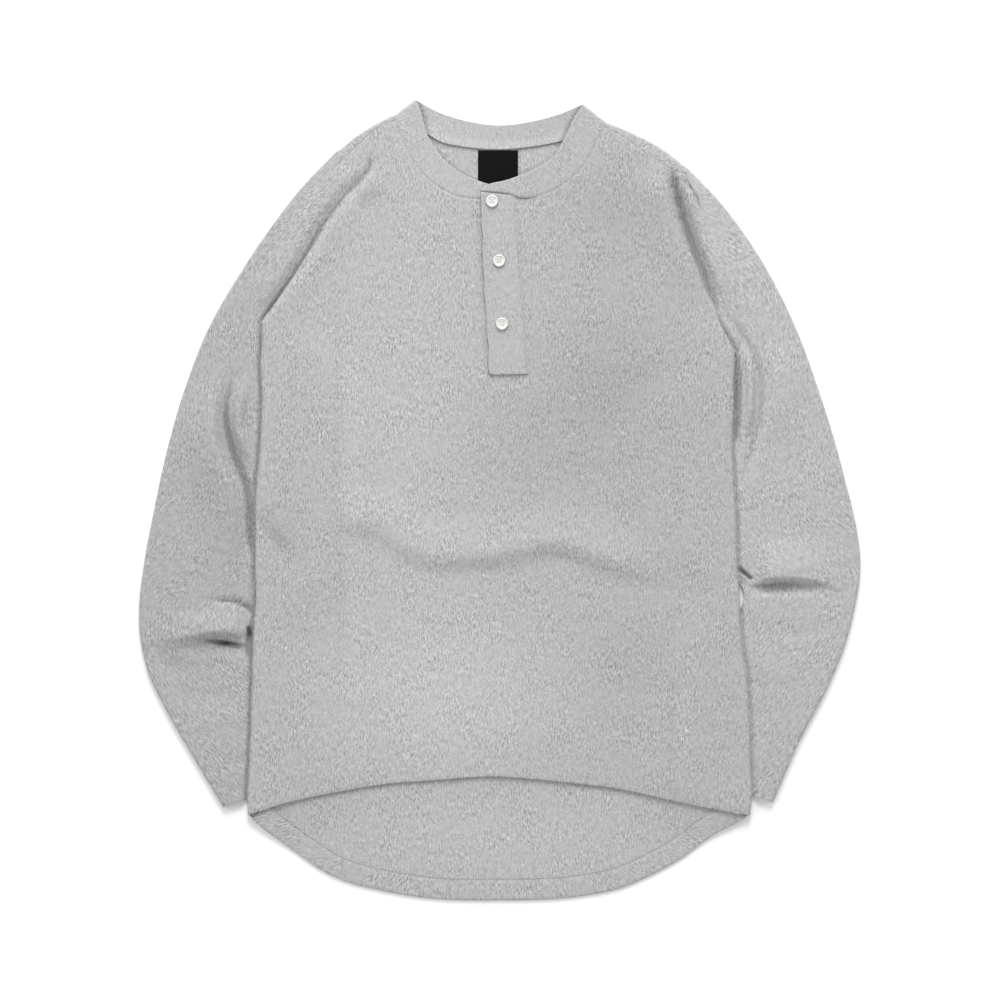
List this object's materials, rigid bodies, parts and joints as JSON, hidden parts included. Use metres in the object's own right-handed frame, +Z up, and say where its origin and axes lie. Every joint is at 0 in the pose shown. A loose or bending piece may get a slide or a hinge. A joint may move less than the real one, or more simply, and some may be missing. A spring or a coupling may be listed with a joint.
{
  "type": "henley shirt",
  "caption": "Long-sleeved henley shirt laid flat, sleeves tucked beneath the body, with a buttoned placket, a neckband and a curved drop tail.",
  "frame": {"origin": "middle of the shirt's outline, on the surface that it lies on", "axes": "+X towards the wearer's left, +Y from the tail up to the neck, +Z up from the surface, out of the shirt's front"},
  "size_m": [0.7208, 0.8, 0.0091],
  "materials": {
    "knit": "light grey heather slub rib knit, matt",
    "label": "plain black woven tape",
    "button": "pearly white, polished"
  },
  "bodies": {
    "root": {"back": "knit", "front": "knit", "sleeve_right": "knit", "sleeve_left": "knit", "neckband": "knit", "placket_over": "knit", "placket_under": "knit", "label": "label", "button_top": "button", "button_middle": "button", "button_bottom": "button"}
  },
  "joints": []
}
